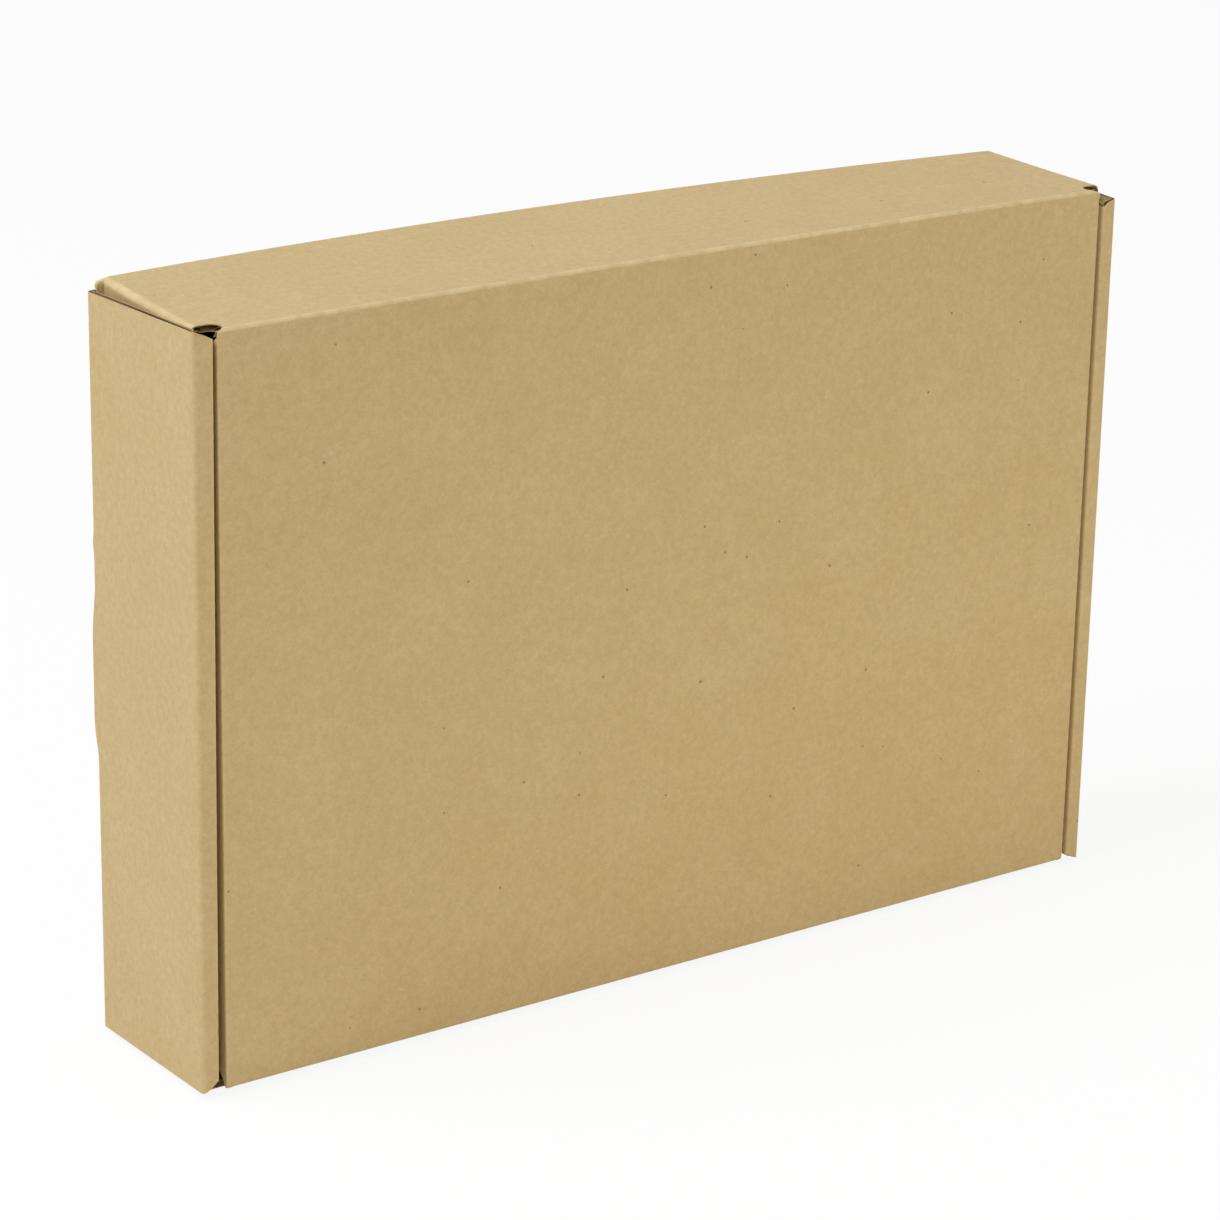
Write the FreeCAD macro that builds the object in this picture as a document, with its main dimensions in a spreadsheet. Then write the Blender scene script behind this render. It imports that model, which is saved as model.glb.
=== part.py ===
import FreeCAD, Part
import os

import Sketcher

# A closed roll-end mailer, die-cut and folded from one sheet of corrugated board.
# It stands on its front wall: X runs along its length, Y from the lid to the bottom
# panel, and Z up to the back wall, where the lid is hinged on a crease.
# The origin is the middle of the front wall's outer face.

# Driving sizes in millimetres: name, value, meaning.
SIZES = (
    ("length", 250.0, "outside length, over both end walls"),
    ("height", 171.0, "outside size from the front wall to the back wall"),
    ("depth", 44.5, "outside size from the lid to the bottom panel at its ends"),
    ("board", 1.6, "thickness of the board"),
    ("crease", 1.4, "outer radius of a folded crease"),
    ("play", 0.3, "play between two plies that lie side by side"),
    ("bow", 5.0, "how far the bottom panel bulges at its middle"),
    ("lidgap", 1.0, "gap between the lid and the rolled rim of an end wall"),
    ("lidfoot", 1.9, "height of the lid's lower edge above the front wall's face"),
    ("creasegap", 0.1, "width of the crease between the lid and the back wall"),
    ("endtrim", 1.0, "how much shorter an end wall is than the box, at each end"),
    ("rimtrim", 3.6, "how much shorter its rolled-in ply is, at each end"),
    ("setback", 4.4, "how far the front wall's cut edge lies behind the lid's face"),
    ("notch", 4.4, "depth of the corner notches in the back wall"),
    ("notchround", 2.0, "radius of the closed corner of a notch"),
    ("flapreach", 62.0, "length of a corner flap"),
    ("flaptaper", 8.0, "how much a corner flap narrows along its length"),
    ("tabspan", 38.0, "length of a locking tab at its root"),
    ("tabtaper", 3.0, "how much a locking tab narrows at each end"),
    ("footspan", 45.0, "length of the foot that stands out of an end wall"),
    ("foottaper", 7.0, "length of the foot's ramp at each end"),
    ("footrise", 1.9, "how far the foot stands out past the bottom panel"),
    ("tuckdepth", 36.0, "depth of the lid's front tuck flap"),
    ("tuckinset", 3.6, "how much narrower the tuck flap is than the lid, each side"),
    ("tuckround", 15.0, "radius of the tuck flap's free corners"),
    ("dustdepth", 34.0, "depth of the lid's side dust flaps"),
    ("dusttrim", 3.0, "how far a dust flap's root stops short of the lid's ends"),
    ("dusttaper", 14.0, "how much a dust flap narrows at each end"),
    ("dustround", 6.0, "radius of a dust flap's free corners"),
)

# Places that several pieces share, as expressions on the sizes.
FRONT = "(-Sizes.depth / 2)"
REAR = "(Sizes.depth / 2)"
HALF = "(Sizes.length / 2)"
TOP = "Sizes.height"
MIDDLE = "(Sizes.height / 2)"
WALL_END = f"({HALF} - Sizes.board - Sizes.play)"
RIM_WIDTH = "(3 * Sizes.board + 2 * Sizes.play)"
LID_HALF = f"({HALF} - {RIM_WIDTH} - Sizes.lidgap)"
INNER_FOOT = f"({REAR} - Sizes.board - Sizes.play)"
BOW_RADIUS = f"(({WALL_END}^2 + Sizes.bow^2) / (2 * Sizes.bow))"
TUCK_RISE = "(1.05 * Sizes.tuckdepth^2 / (2 * Sizes.height))"
TUCK_HALF = f"({LID_HALF} - Sizes.tuckinset)"


def make_sizes(doc):
    """The spreadsheet that drives every feature."""
    sheet = doc.addObject("Spreadsheet::Sheet", "Sizes")
    for row, (alias, value, meaning) in enumerate(SIZES, start=1):
        sheet.set(f"A{row}", meaning)
        sheet.set(f"B{row}", str(value))
        sheet.setAlias(f"B{row}", alias)
    doc.recompute()
    return sheet


def new_sketch(body, name, plane, offset="0"):
    """A sketch on one of the body's origin planes, moved along the plane's normal."""
    sketch = body.newObject("Sketcher::SketchObject", name)
    support = next(f for f in body.Origin.OriginFeatures if f.Role == plane)
    sketch.AttachmentSupport = [(support, "")]
    sketch.MapMode = "FlatFace"
    sketch.setExpression("AttachmentOffset.Base.z", offset)
    return sketch


def bind(sketch, kind, target, expression):
    """Adds a dimension between the sketch's origin and a point, driven by an expression."""
    value = sketch.evalExpression(expression)
    number = sketch.addConstraint(Sketcher.Constraint(kind, -1, 1, *target, value))
    sketch.setExpression(f"Constraints[{number}]", expression)


def add_outline(sketch, corners):
    """Draws a closed outline of straight lines through (across, up) pairs of expressions."""
    points = []
    for across, up in corners:
        points.append(FreeCAD.Vector(sketch.evalExpression(across), sketch.evalExpression(up), 0))
    lines = []
    for start, end in zip(points, points[1:] + points[:1]):
        lines.append(sketch.addGeometry(Part.LineSegment(start, end)))
    for line, following, (across, up) in zip(lines, lines[1:] + lines[:1], corners):
        sketch.addConstraint(Sketcher.Constraint("Coincident", line, 2, following, 1))
        bind(sketch, "DistanceX", (line, 1), across)
        bind(sketch, "DistanceY", (line, 1), up)


def add_bowed_outline(sketch, end, front, rear):
    """Draws a plan with straight front and sides and a bowed rear, as wide as two ends."""
    x_end = sketch.evalExpression(end)
    y_front = sketch.evalExpression(front)
    radius = sketch.evalExpression(BOW_RADIUS)
    centre_up = f"({rear} + Sizes.bow - {BOW_RADIUS})"
    y_centre = sketch.evalExpression(centre_up)
    y_end = y_centre + (radius**2 - x_end**2) ** 0.5
    y_crown = y_centre + radius
    corners = [
        FreeCAD.Vector(-x_end, y_end, 0),
        FreeCAD.Vector(-x_end, y_front, 0),
        FreeCAD.Vector(x_end, y_front, 0),
        FreeCAD.Vector(x_end, y_end, 0),
    ]
    crown = FreeCAD.Vector(0, y_crown, 0)
    for start, stop in zip(corners, corners[1:]):
        sketch.addGeometry(Part.LineSegment(start, stop))
    sketch.addGeometry(Part.Arc(corners[3], crown, corners[0]))
    left, base, right, arc = range(4)
    sketch.addConstraint(Sketcher.Constraint("Coincident", left, 2, base, 1))
    sketch.addConstraint(Sketcher.Constraint("Coincident", base, 2, right, 1))
    sketch.addConstraint(Sketcher.Constraint("Coincident", right, 2, arc, 1))
    sketch.addConstraint(Sketcher.Constraint("Coincident", arc, 2, left, 1))
    bind(sketch, "DistanceX", (left, 1), f"-{end}")
    bind(sketch, "DistanceX", (base, 1), f"-{end}")
    bind(sketch, "DistanceY", (base, 1), front)
    bind(sketch, "DistanceX", (right, 1), end)
    bind(sketch, "DistanceY", (right, 1), front)
    bind(sketch, "DistanceX", (arc, 1), end)
    bind(sketch, "DistanceX", (arc, 3), "0")
    bind(sketch, "DistanceY", (arc, 3), centre_up)
    number = sketch.addConstraint(Sketcher.Constraint("Radius", arc, radius))
    sketch.setExpression(f"Constraints[{number}]", BOW_RADIUS)


def add_feature(body, kind, name, sketch, length, **options):
    """A pad or a pocket from a sketch, with its length driven by an expression."""
    feature = body.newObject(f"PartDesign::{kind}", name)
    feature.Profile = sketch
    feature.setExpression("Length", length)
    for option, value in options.items():
        setattr(feature, option, value)
    body.Document.recompute()
    return feature


def add_mirror(body, name, feature):
    """Repeats a feature on the other side of the plane that halves the length."""
    mirror = body.newObject("PartDesign::Mirrored", name)
    plane = next(f for f in body.Origin.OriginFeatures if f.Role == "YZ_Plane")
    mirror.Originals = [feature]
    mirror.MirrorPlane = (plane, [""])
    body.Tip = mirror
    body.Document.recompute()
    return mirror


def add_rounding(body, name, radius, chosen):
    """Rounds the edges of the body that chosen picks by their middle and direction."""
    tip = body.Tip
    names = []
    for number, edge in enumerate(tip.Shape.Edges, start=1):
        middle = edge.valueAt((edge.FirstParameter + edge.LastParameter) / 2)
        chord = edge.Vertexes[-1].Point - edge.Vertexes[0].Point
        if chord.Length > 0 and chosen(middle, chord.normalize()):
            names.append(f"Edge{number}")
    fillet = body.newObject("PartDesign::Fillet", name)
    fillet.Base = (tip, names)
    fillet.setExpression("Radius", radius)
    body.Document.recompute()
    return fillet


def near(a, b):
    """True where two lengths agree."""
    return abs(a - b) < 1e-3


def make_body(doc, name):
    """An empty body with its own origin planes."""
    body = doc.addObject("PartDesign::Body", name)
    doc.recompute()
    return body


def make_wrap(doc):
    """Back wall, bottom panel and front wall, with the corner flaps folded from the walls."""
    body = make_body(doc, "Wrap")
    value = body.evalExpression

    plan = new_sketch(body, "WrapPlan", "XY_Plane")
    add_bowed_outline(plan, WALL_END, FRONT, REAR)
    add_feature(body, "Pad", "WrapBlock", plan, TOP)

    hollow = new_sketch(body, "HollowPlan", "XY_Plane", "Sizes.board")
    add_bowed_outline(hollow, HALF, f"(2 * {FRONT})", f"({REAR} - Sizes.board)")
    inside = f"{TOP} - 2 * Sizes.board"
    add_feature(body, "Pocket", "Hollow", hollow, inside, Reversed=True)

    setback = new_sketch(body, "FrontEdge", "XY_Plane")
    edge = f"({FRONT} + Sizes.setback)"
    add_outline(setback, rectangle(f"-{HALF}", f"(2 * {FRONT})", HALF, edge))
    add_feature(body, "Pocket", "FrontSetback", setback, "Sizes.board", Reversed=True)

    add_notches(body)
    add_corner_flaps(body)
    add_slots(body)

    top, end = value(TOP), value(WALL_END)
    front, rear = value(FRONT), value(REAR)
    add_rounding(
        body,
        "WrapCreases",
        "Sizes.crease",
        lambda middle, along: near(middle.z % top, 0)
        and ((near(abs(along.x), 1) and middle.y > rear - 1e-3) or near(abs(middle.x), end)),
    )
    add_rounding(
        body,
        "LidCrease",
        "Sizes.crease",
        lambda middle, along: near(middle.z, top) and near(middle.y, front),
    )
    mitre = new_sketch(body, "CreaseMitre", "YZ_Plane")
    outer, inner = f"({FRONT} - Sizes.board)", f"({FRONT} + Sizes.board)"
    low, high = f"({TOP} - Sizes.board)", f"({TOP} + Sizes.board)"
    add_outline(mitre, [(outer, high), (inner, low), (outer, low)])
    add_feature(body, "Pocket", "LidMitre", mitre, f"2 * {HALF}", Midplane=True)
    return body


def rectangle(x_low, y_low, x_high, y_high):
    """The four corners of an upright rectangle."""
    return [(x_low, y_low), (x_high, y_low), (x_high, y_high), (x_low, y_high)]


def add_notches(body):
    """Cuts the rounded notch beside each end of the lid's crease in the back wall."""
    sketch = new_sketch(body, "NotchPlan", "XY_Plane", TOP)
    edge = f"({FRONT} + Sizes.notch)"
    add_outline(sketch, rectangle(LID_HALF, f"(2 * {FRONT})", HALF, edge))
    notch = add_feature(body, "Pocket", "Notch", sketch, "Sizes.board")
    add_mirror(body, "Notches", notch)
    corner_x, corner_y = body.evalExpression(LID_HALF), body.evalExpression(edge)
    add_rounding(
        body,
        "NotchCorners",
        "Sizes.notchround",
        lambda middle, along: near(abs(middle.x), corner_x) and near(middle.y, corner_y),
    )


def add_corner_flaps(body):
    """Folds a tapered flap from each end of the back wall and of the front wall."""
    offset = f"{WALL_END} - Sizes.board"
    sketch = new_sketch(body, "FlapPlan", "YZ_Plane", offset)
    rear = INNER_FOOT
    tip_rear = f"({rear} - Sizes.flaptaper)"
    back_front = f"({FRONT} + Sizes.notch)"
    back_tip = f"({TOP} - Sizes.flapreach)"
    add_outline(
        sketch,
        [(back_front, TOP), (back_front, back_tip), (tip_rear, back_tip), (rear, TOP)],
    )
    front_front = f"({FRONT} + Sizes.setback)"
    add_outline(
        sketch,
        [(front_front, "0"), (rear, "0"), (tip_rear, "Sizes.flapreach"), (front_front, "Sizes.flapreach")],
    )
    flap = add_feature(body, "Pad", "CornerFlap", sketch, "Sizes.board")
    add_mirror(body, "CornerFlaps", flap)


def add_slots(body):
    """Cuts the slots for the locking tabs through the bottom panel."""
    sketch = new_sketch(body, "SlotPlan", "XZ_Plane")
    add_outline(sketch, slot_corners())
    slot = add_feature(body, "Pocket", "Slot", sketch, "Sizes.depth")
    add_mirror(body, "Slots", slot)


def slot_corners():
    """The slot's corners in length and height: one ply and its play, between foot and panel."""
    reach = "(Sizes.tabspan / 2 + Sizes.play)"
    inner = f"({HALF} - {RIM_WIDTH} - Sizes.play)"
    outer = f"({HALF} - Sizes.board)"
    return rectangle(inner, f"({MIDDLE} - {reach})", outer, f"({MIDDLE} + {reach})")


def make_end_wall(doc):
    """The end wall at +X: outer ply, rolled rim and inner ply with its locking tab."""
    body = make_body(doc, "EndWall")
    value = body.evalExpression

    section = new_sketch(body, "RollSection", "XY_Plane", "Sizes.endtrim")
    root = f"({WALL_END} - Sizes.board)"
    outer_in = f"({HALF} - Sizes.board)"
    inner_out = f"({HALF} - {RIM_WIDTH} + Sizes.board)"
    inner_in = f"({HALF} - {RIM_WIDTH})"
    rim = f"({FRONT} + Sizes.board)"
    lip = f"({REAR} - Sizes.board)"
    add_outline(
        section,
        [
            (root, lip),
            (outer_in, lip),
            (outer_in, rim),
            (inner_out, rim),
            (inner_out, INNER_FOOT),
            (inner_in, INNER_FOOT),
            (inner_in, FRONT),
            (HALF, FRONT),
            (HALF, REAR),
            (root, REAR),
        ],
    )
    add_feature(body, "Pad", "Roll", section, f"{TOP} - 2 * Sizes.endtrim")
    half, front, rear, inner = value(HALF), value(FRONT), value(REAR), value(inner_in)
    add_rounding(
        body,
        "RollCreases",
        "Sizes.crease",
        lambda middle, along: near(abs(along.z), 1)
        and (near(middle.x, half) or (near(middle.x, inner) and near(middle.y, front))),
    )

    ends = new_sketch(body, "RimEnds", "XZ_Plane", REAR)
    for edge, step in (("0", "+"), (TOP, "-")):
        outside = f"({edge} {step} Sizes.endtrim)"
        inside = f"({edge} {step} Sizes.rimtrim)"
        beyond = f"({inner_in} - Sizes.board)"
        add_outline(
            ends,
            [(outer_in, outside), (outer_in, edge), (beyond, edge), (beyond, inside), (inner_in, inside)],
        )
    add_feature(body, "Pocket", "RimChamfers", ends, f"{INNER_FOOT} - {FRONT}")

    slot = new_sketch(body, "LipSlot", "XZ_Plane", f"-{INNER_FOOT}")
    add_outline(slot, slot_corners())
    add_feature(body, "Pocket", "LipCut", slot, "Sizes.depth")

    tab = new_sketch(body, "TabPlan", "YZ_Plane", inner_in)
    add_outline(tab, trapezoid(f"({INNER_FOOT} - Sizes.board)", REAR, "Sizes.tabspan", "Sizes.tabtaper"))
    add_feature(body, "Pad", "LockingTab", tab, "Sizes.board")

    foot = new_sketch(body, "FootPlan", "YZ_Plane", outer_in)
    crown = f"({REAR} + Sizes.footrise)"
    add_outline(foot, trapezoid(lip, crown, "Sizes.footspan", "Sizes.foottaper"))
    add_feature(body, "Pad", "Foot", foot, "Sizes.board")
    return body


def trapezoid(root, crown, span, taper):
    """Corners of a tongue at mid-height that narrows from its root to its crown."""
    wide = f"({span} / 2)"
    narrow = f"({span} / 2 - {taper})"
    return [
        (root, f"({MIDDLE} - {wide})"),
        (crown, f"({MIDDLE} - {narrow})"),
        (crown, f"({MIDDLE} + {narrow})"),
        (root, f"({MIDDLE} + {wide})"),
    ]


def make_tray(doc):
    """The folded tray as one sheet: the wrap and its two rolled end walls."""
    wrap = make_wrap(doc)
    right_end = make_end_wall(doc)
    left_end = doc.addObject("Part::Mirroring", "LeftEndWall")
    left_end.Source = right_end
    left_end.Normal = (1, 0, 0)
    tray = doc.addObject("Part::MultiFuse", "Tray")
    tray.Shapes = [wrap, right_end, left_end]
    tray.Label = "tray"
    return tray


def add_tuck_flap(body):
    """The front tuck flap: it leans in, so that its free edge clears the front wall as the lid opens."""
    hinge = f"({FRONT} + Sizes.crease)"
    free = f"({FRONT} + Sizes.tuckdepth)"
    foot = "Sizes.lidfoot"
    raised = f"(Sizes.lidfoot + {TUCK_RISE})"
    plan = new_sketch(body, "TuckPlan", "XY_Plane", foot)
    add_outline(plan, rectangle(f"-{TUCK_HALF}", hinge, TUCK_HALF, free))
    add_feature(body, "Pad", "TuckFlap", plan, f"{TUCK_RISE} + Sizes.board")
    free_y = body.evalExpression(free)
    add_rounding(
        body,
        "TuckCorners",
        "Sizes.tuckround",
        lambda middle, along: near(middle.y, free_y) and near(abs(along.z), 1),
    )
    section = new_sketch(body, "TuckSection", "YZ_Plane")
    add_outline(section, [(hinge, foot), (free, foot), (free, raised)])
    thick = "(Sizes.lidfoot + Sizes.board)"
    roof = f"({raised} + Sizes.board)"
    add_outline(section, [(hinge, thick), (free, roof), (hinge, roof)])
    add_feature(body, "Pocket", "TuckSlopes", section, f"2 * {TUCK_HALF}", Midplane=True)


def make_lid(doc):
    """The lid panel with its tuck flap and dust flaps, folded inwards."""
    body = make_body(doc, "Lid")
    body.Label = "lid"
    value = body.evalExpression

    add_tuck_flap(body)

    section = new_sketch(body, "PanelSection", "YZ_Plane")
    inside = f"({FRONT} + Sizes.board)"
    add_outline(section, rectangle(FRONT, "Sizes.lidfoot", inside, TOP))
    add_feature(body, "Pad", "Panel", section, f"2 * {LID_HALF}", Midplane=True)

    dust = new_sketch(body, "DustPlan", "YZ_Plane", f"{LID_HALF} - Sizes.board")
    root = f"({FRONT} + Sizes.board / 2)"
    tip = f"({FRONT} + Sizes.dustdepth)"
    low = "(Sizes.lidfoot + Sizes.dusttrim)"
    high = f"({TOP} - Sizes.dusttrim)"
    add_outline(
        dust,
        [(root, low), (tip, f"({low} + Sizes.dusttaper)"), (tip, f"({high} - Sizes.dusttaper)"), (root, high)],
    )
    flap = add_feature(body, "Pad", "DustFlap", dust, "Sizes.board")
    add_mirror(body, "DustFlaps", flap)
    tip_y = value(tip)
    add_rounding(
        body,
        "DustCorners",
        "Sizes.dustround",
        lambda middle, along: near(middle.y, tip_y) and near(abs(along.x), 1),
    )

    half, front, foot = value(LID_HALF), value(FRONT), value("Sizes.lidfoot")
    add_rounding(
        body,
        "LidCreases",
        "Sizes.crease",
        lambda middle, along: near(middle.y, front)
        and (near(abs(middle.x), half) or near(middle.z, foot) or near(middle.z, value(TOP))),
    )

    mitre = new_sketch(body, "LidMitreSection", "YZ_Plane")
    crease = f"({TOP} - Sizes.creasegap)"
    near_side = f"({FRONT} - Sizes.board)"
    far_side = f"({FRONT} + 3 * Sizes.board)"
    add_outline(
        mitre,
        [
            (near_side, f"({crease} + Sizes.board)"),
            (far_side, f"({crease} - 3 * Sizes.board)"),
            (far_side, f"({crease} + Sizes.board)"),
        ],
    )
    add_feature(body, "Pocket", "LidTopMitre", mitre, f"2 * {HALF}", Midplane=True)
    return body


def check_document(doc):
    """Stops if any object failed to compute."""
    for item in doc.Objects:
        for word in ("Invalid", "Error"):
            if word in item.State:
                raise RuntimeError(f"{item.Name} is {word}")


def export_part(item):
    """Writes one sub-part, after testing that it is one valid solid."""
    shape = item.Shape
    if shape.isNull() or not shape.isValid() or len(shape.Solids) != 1:
        raise RuntimeError(f"{item.Label} is not one valid solid")
    shape.exportStep(f"parts/{item.Label}.step")
    box = shape.BoundBox
    print(f"{item.Label}: {shape.Volume:.1f} mm3, box {box}")


def main():
    doc = FreeCAD.newDocument("Mailer")
    make_sizes(doc)
    parts = [make_tray(doc), make_lid(doc)]
    doc.recompute()
    check_document(doc)
    os.makedirs("parts", exist_ok=True)
    for item in parts:
        export_part(item)


main()
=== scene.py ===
import math

import bmesh
import bpy
import numpy as np
from mathutils import Matrix, Vector


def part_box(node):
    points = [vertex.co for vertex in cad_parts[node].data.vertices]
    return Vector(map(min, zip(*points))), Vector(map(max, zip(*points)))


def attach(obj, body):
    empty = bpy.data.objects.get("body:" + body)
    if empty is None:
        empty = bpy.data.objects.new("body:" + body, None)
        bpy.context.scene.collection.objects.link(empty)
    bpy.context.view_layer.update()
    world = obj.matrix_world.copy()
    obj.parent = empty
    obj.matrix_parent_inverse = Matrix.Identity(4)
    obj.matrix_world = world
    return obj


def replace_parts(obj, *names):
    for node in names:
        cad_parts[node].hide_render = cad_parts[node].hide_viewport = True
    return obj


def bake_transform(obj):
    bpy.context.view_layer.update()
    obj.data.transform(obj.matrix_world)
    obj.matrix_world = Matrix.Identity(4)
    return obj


# A closed roll-end mailer of corrugated kraft board. Each panel is built as the board is:
# two liners and the fluted medium between them, folded along its creases.
# Lengths are millimetres until a mesh is made. The paper's texture, the lights and the floor
# are in metres.

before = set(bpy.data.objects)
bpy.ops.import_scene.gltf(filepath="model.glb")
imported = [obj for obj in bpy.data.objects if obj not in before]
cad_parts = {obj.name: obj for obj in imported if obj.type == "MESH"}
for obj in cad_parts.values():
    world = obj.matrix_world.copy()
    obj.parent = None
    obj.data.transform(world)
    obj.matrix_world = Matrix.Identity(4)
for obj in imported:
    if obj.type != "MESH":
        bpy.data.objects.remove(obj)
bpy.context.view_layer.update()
tray_low, tray_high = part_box("tray")
lid_low, lid_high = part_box("lid")

MM = 0.001

# The box's outside, read from the frame.
HALF = tray_high.x / MM
FRONT = tray_low.y / MM
REAR = -FRONT
DEPTH = REAR - FRONT
BOW = tray_high.y / MM - REAR
TOP = tray_high.z / MM
MIDDLE = TOP / 2
LID_HALF = lid_high.x / MM
LID_FOOT = lid_low.z / MM
TUCK_REAR = lid_high.y / MM

# The board and its folds. The liner, the medium and the crush at a fold are shares of the
# board's thickness, and a folded board is at most a share of its fold's radius thick.
BOARD = 1.6
PLAY = 0.3
FLUTES_UP = 50.5
PITCH = TOP / FLUTES_UP
LINER = 0.15
MEDIUM = 0.1
CRUSH = 0.22
FOLD_FILL = 0.9
FOLD_FADE = 1.2
SHARP_ANGLE = 38

# Folds, flaps, slots and notches.
WALL_END = HALF - BOARD - PLAY
RIM_WIDTH = 3 * BOARD + 2 * PLAY
INNER_FOOT = REAR - BOARD - PLAY
HINGE_BAND = 5.0
HINGE_RADIUS = 0.9
HINGE_REACH = 2.0
WRAP_RADIUS = 1.8
FLAP_RADIUS = 1.5
REAR_RADIUS = 1.2
FRONT_RADIUS = 0.9
RIM_RADIUS = 0.8
DUST_RADIUS = 0.45
TUCK_RADIUS = 1.0
CORNER_GAP = 0.33
END_TRIM = 1.0
SETBACK = 4.4
NOTCH = 4.4
NOTCH_SHOULDER = 0.6
FLAP_REACH = 62.0
FLAP_TAPER = 8.0
SLOT_HALF = 19.3
TAB_HALF = 19.0
TAB_TAPER = 3.0
FOOT_HALF = 22.5
FOOT_TAPER = 11.0
FOOT_TAPER_TOP = 16.0
FOOT_RISE = 0.6
FOOT_LEAST = 0.04
RIM_BACK = 4.0
TUCK_RISE = 4.0
TUCK_INSET = 3.6
TUCK_ROUND = 15.0
DUST_DEPTH = 34.0
DUST_TRIM = 3.0
DUST_TAPER = 14.0
DUST_ROUND = 6.0

# Where one folded strip of the blank hands over to the next.
FLAP_START = WALL_END - FLAP_RADIUS - FOLD_FADE
SLOT_START = HALF - RIM_WIDTH - PLAY
DUST_START = LID_HALF - DUST_RADIUS - FOLD_FADE

# How the real box has settled out of true.
CROWN = 0.55
CROWN_REACH = 60
REAR_LIFT_LEFT = 1.9
REAR_LIFT_RIGHT = 0.8
REAR_LIFT_REACH = 50
REAR_PULL_LEFT = 1.5
REAR_PULL_START = 90
KNUCKLE = 0.5
KNUCKLE_UP = 28.8
KNUCKLE_REACH = 1.8
LID_SAG = 0.7
LID_SPREAD_LEFT = 0.5
LID_SPREAD_RIGHT = 1.2
LID_WAVE = 0.1
LID_WAVE_ALONG = 41.0
LID_WAVE_UP = 37.0
ROLL_PINCH_RIGHT = 1.4
ROLL_PINCH_LEFT_TOP = 0.2
ROLL_PINCH_LEFT_FOOT = 1.2
LID_LOW = LID_FOOT - LID_SAG

# How finely the strips are divided: steps along them, columns across them, and spans as
# shares of a flap's width, finer up to the foot or past the rear share.
PANEL_STEP = 6
PANEL_COLUMN = 7
WALL_STEP = 9
WALL_FOLD_STEP = 0.4
WALL_COLUMN = PITCH / 6
FOOT_COLUMN = PITCH / 8
CREASE_STEP = 0.34
CREASE_FOLD_STEP = 0.15
CREASE_COLUMN = 2
FLAP_STEP = 8
FLAP_SPAN = 0.0125
FLAP_REAR = 0.95
FLAP_REAR_SPAN = 0.006
DUST_STEP = 7
DUST_SPAN = 0.0034
DUST_FOOT = 0.012
DUST_FOOT_SPAN = 0.0015

# The columns that stay put where a strip's ends move.
STEADY_HALF = 112
END_MARGIN = 6.0

# Marks on the paper, as display values from 0 to 255.
DARK_DOT = (92, 66, 34)
PALE_FLECK = (244, 226, 190)
# The pale fold colour: partly rubbed paper, partly a painted highlight along the folds.
FOLD_WEAR_AND_HIGHLIGHT = (236, 216, 168)

# The camera, fitted to the photo, whose sides are PHOTO_SIZE pixels.
PHOTO_SIZE = 1220
SENSOR = 36
CAMERA_PLACE = (-529, -729, 392)
CAMERA_AZIMUTH = 35.78
CAMERA_ELEVATION = 18.97
CAMERA_ROLL = 1.09
CAMERA_FOCAL_PIXELS = 4149

OUTER, INNER, CORE = range(3)


def smooth_step(value, low, high):
    """Rises from 0 at low to 1 at high without a corner."""
    share = np.clip((value - low) / (high - low), 0.0, 1.0)
    return share * share * (3 - 2 * share)


def round_off(distance, radius):
    """How far a rounded corner stands back, at a distance from the edge beside it."""
    inside = np.clip(radius - distance, 0.0, radius)
    return radius - np.sqrt(radius**2 - inside**2)


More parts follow.
